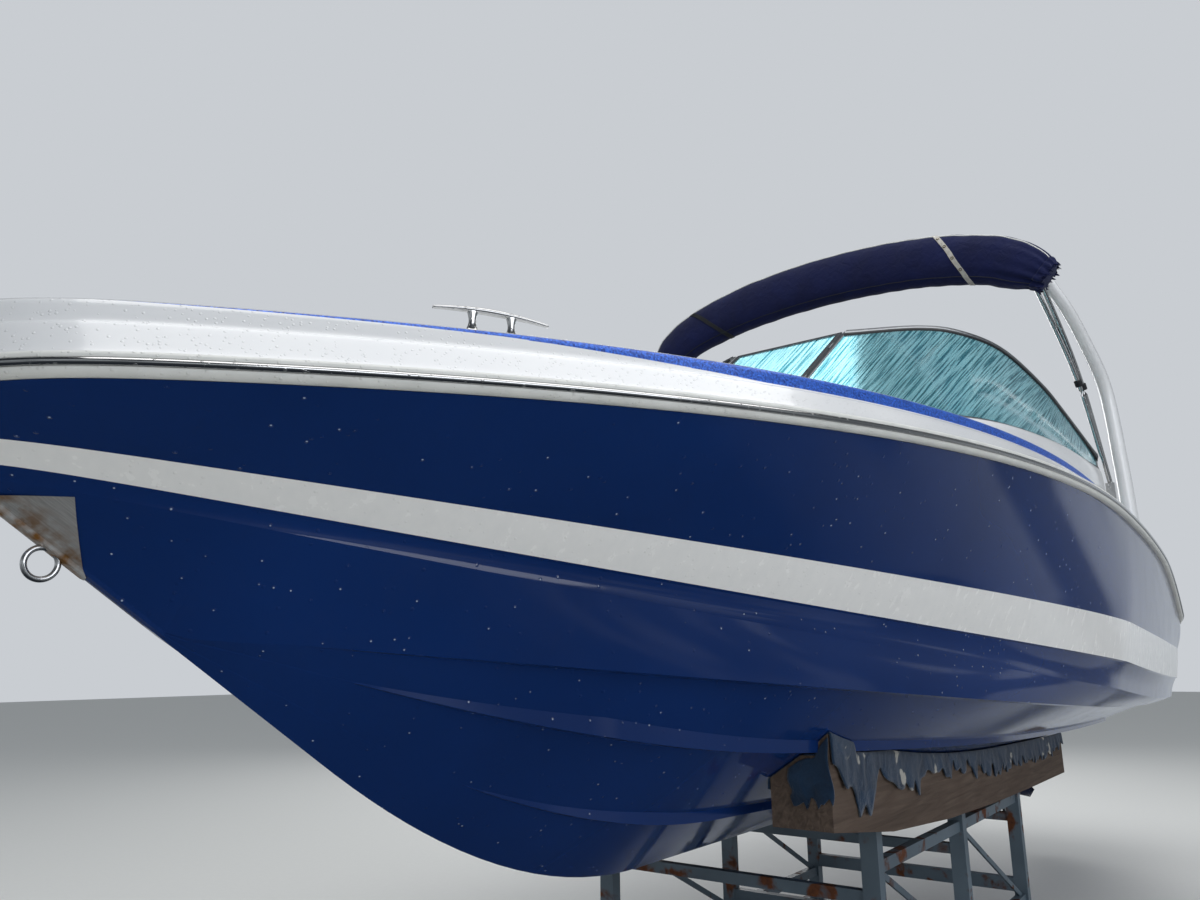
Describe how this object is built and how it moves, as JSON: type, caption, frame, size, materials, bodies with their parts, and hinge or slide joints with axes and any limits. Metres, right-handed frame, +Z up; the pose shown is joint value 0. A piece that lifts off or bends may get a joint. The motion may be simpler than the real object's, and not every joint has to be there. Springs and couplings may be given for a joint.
{
  "type": "bowrider speedboat on a storage cradle",
  "caption": "Bowrider speedboat with a sterndrive, open bow, windshield, arch with its stowed canvas top, and the cradle it stands on.",
  "frame": {"origin": "centre of the whole object's bounding box in plan, on the floor under the cradle", "axes": "+X forward towards the bow, +Y to port, +Z up"},
  "size_m": [7.002, 2.602, 3.454],
  "materials": {
    "navy_gelcoat": "gloss",
    "white_gelcoat": "gloss",
    "white_vinyl": "satin",
    "stainless": "polished",
    "anodised": "satin",
    "safety_glass": "clear",
    "black_plastic": "satin",
    "wheel_grip": "satin",
    "marine_vinyl": "satin",
    "deck_mat": "matt",
    "engine_paint": "satin",
    "drive_paint": "satin",
    "propeller_steel": "satin",
    "lamp_cover": "gloss",
    "canvas": "matt",
    "timber": "matt",
    "bunk_cloth": "matt",
    "cradle_paint": "satin"
  },
  "bodies": {
    "boat": {"hull": "navy_gelcoat", "deck": "white_gelcoat", "cockpit_liner": "white_gelcoat", "rub_rail": "white_vinyl", "rail_insert": "stainless", "scuff_plate": "stainless", "bow_eye": "stainless", "bow_cleats": "stainless", "stern_cleats": "stainless", "swim_platform": "deck_mat", "windshield_frame": "anodised", "windshield_glass": "safety_glass", "windshield_coaming": "white_gelcoat", "port_console": "white_gelcoat", "helm_console": "white_gelcoat", "steering_column": "black_plastic", "throttle_control": "black_plastic", "seat_pedestals": "stainless", "bench_base": "white_gelcoat", "bench_cushions": "marine_vinyl", "bow_cushions": "marine_vinyl", "door_jamb": "white_gelcoat", "hatch_hinges": "stainless", "engine": "engine_paint", "transom_shield": "drive_paint", "ladder_lugs": "stainless", "arch": "white_gelcoat", "masthead_lamp": "lamp_cover", "bimini_boot": "canvas", "bimini_feet": "stainless", "bimini_legs": "stainless", "cradle_bunks": "timber", "bunk_carpet": "bunk_cloth", "cradle_frames": "cradle_paint", "cradle_rails": "cradle_paint"},
    "wheel": {"steering_wheel": "wheel_grip"},
    "gate": {"gate_frame": "anodised", "gate_glass": "safety_glass"},
    "door": {"walkway_door": "white_gelcoat"},
    "hatch": {"engine_hatch": "white_gelcoat", "sunpad": "marine_vinyl"},
    "port_seat": {"passenger_seat": "marine_vinyl"},
    "starboard_seat": {"helm_seat": "marine_vinyl"},
    "ring": {"gimbal_ring": "drive_paint"},
    "drive": {"drive_case": "drive_paint", "drive_leg": "drive_paint"},
    "prop": {"propeller": "propeller_steel"},
    "ladder": {"boarding_ladder": "stainless"}
  },
  "joints": [
    {"name": "helm_wheel", "type": "hinge", "parent": "boat", "child": "wheel", "pos_m": [0.022, -0.574, 1.76], "axis": [-0.9563, 0, 0.2924], "range_deg": [-540, 540]},
    {"name": "windshield_gate", "type": "hinge", "parent": "boat", "child": "gate", "pos_m": [0.48581, 0.278, 2.42527], "axis": [-0.8102, 0, 0.5861], "range_deg": [0, 150]},
    {"name": "walkway_door_hinge", "type": "hinge", "parent": "boat", "child": "door", "pos_m": [1.132, 0.249, 1.51], "axis": [0, 0, -1], "range_deg": [0, 88]},
    {"name": "engine_hatch_hinge", "type": "hinge", "parent": "boat", "child": "hatch", "pos_m": [-1.714, 0, 2.00373], "axis": [0, 1, 0], "range_deg": [0, 50]},
    {"name": "helm_seat_swivel", "type": "hinge", "parent": "boat", "child": "starboard_seat", "pos_m": [-0.598, -0.566, 1.47], "axis": [0, 0, 1], "range_deg": [-180, 180]},
    {"name": "passenger_seat_swivel", "type": "hinge", "parent": "boat", "child": "port_seat", "pos_m": [-0.598, 0.566, 1.47], "axis": [0, 0, 1], "range_deg": [-180, 180]},
    {"name": "drive_steer", "type": "hinge", "parent": "boat", "child": "ring", "pos_m": [-2.918, 0, 0.98], "axis": [0, 0, 1], "range_deg": [-30, 30]},
    {"name": "drive_trim", "type": "hinge", "parent": "ring", "child": "drive", "pos_m": [-2.918, 0, 0.98], "axis": [0, 1, 0], "range_deg": [-5, 40]},
    {"name": "propeller_spin", "type": "hinge", "parent": "drive", "child": "prop", "pos_m": [-3.3255, 0, 0.45], "axis": [1, 0, 0], "continuous": true},
    {"name": "ladder_fold", "type": "hinge", "parent": "boat", "child": "ladder", "pos_m": [-3.5, 0.56, 1.426], "axis": [0, -1, 0], "range_deg": [0, 262]}
  ],
  "couplings": [
    {"joint": "helm_wheel", "follows": "drive_steer", "ratio": -18}
  ]
}
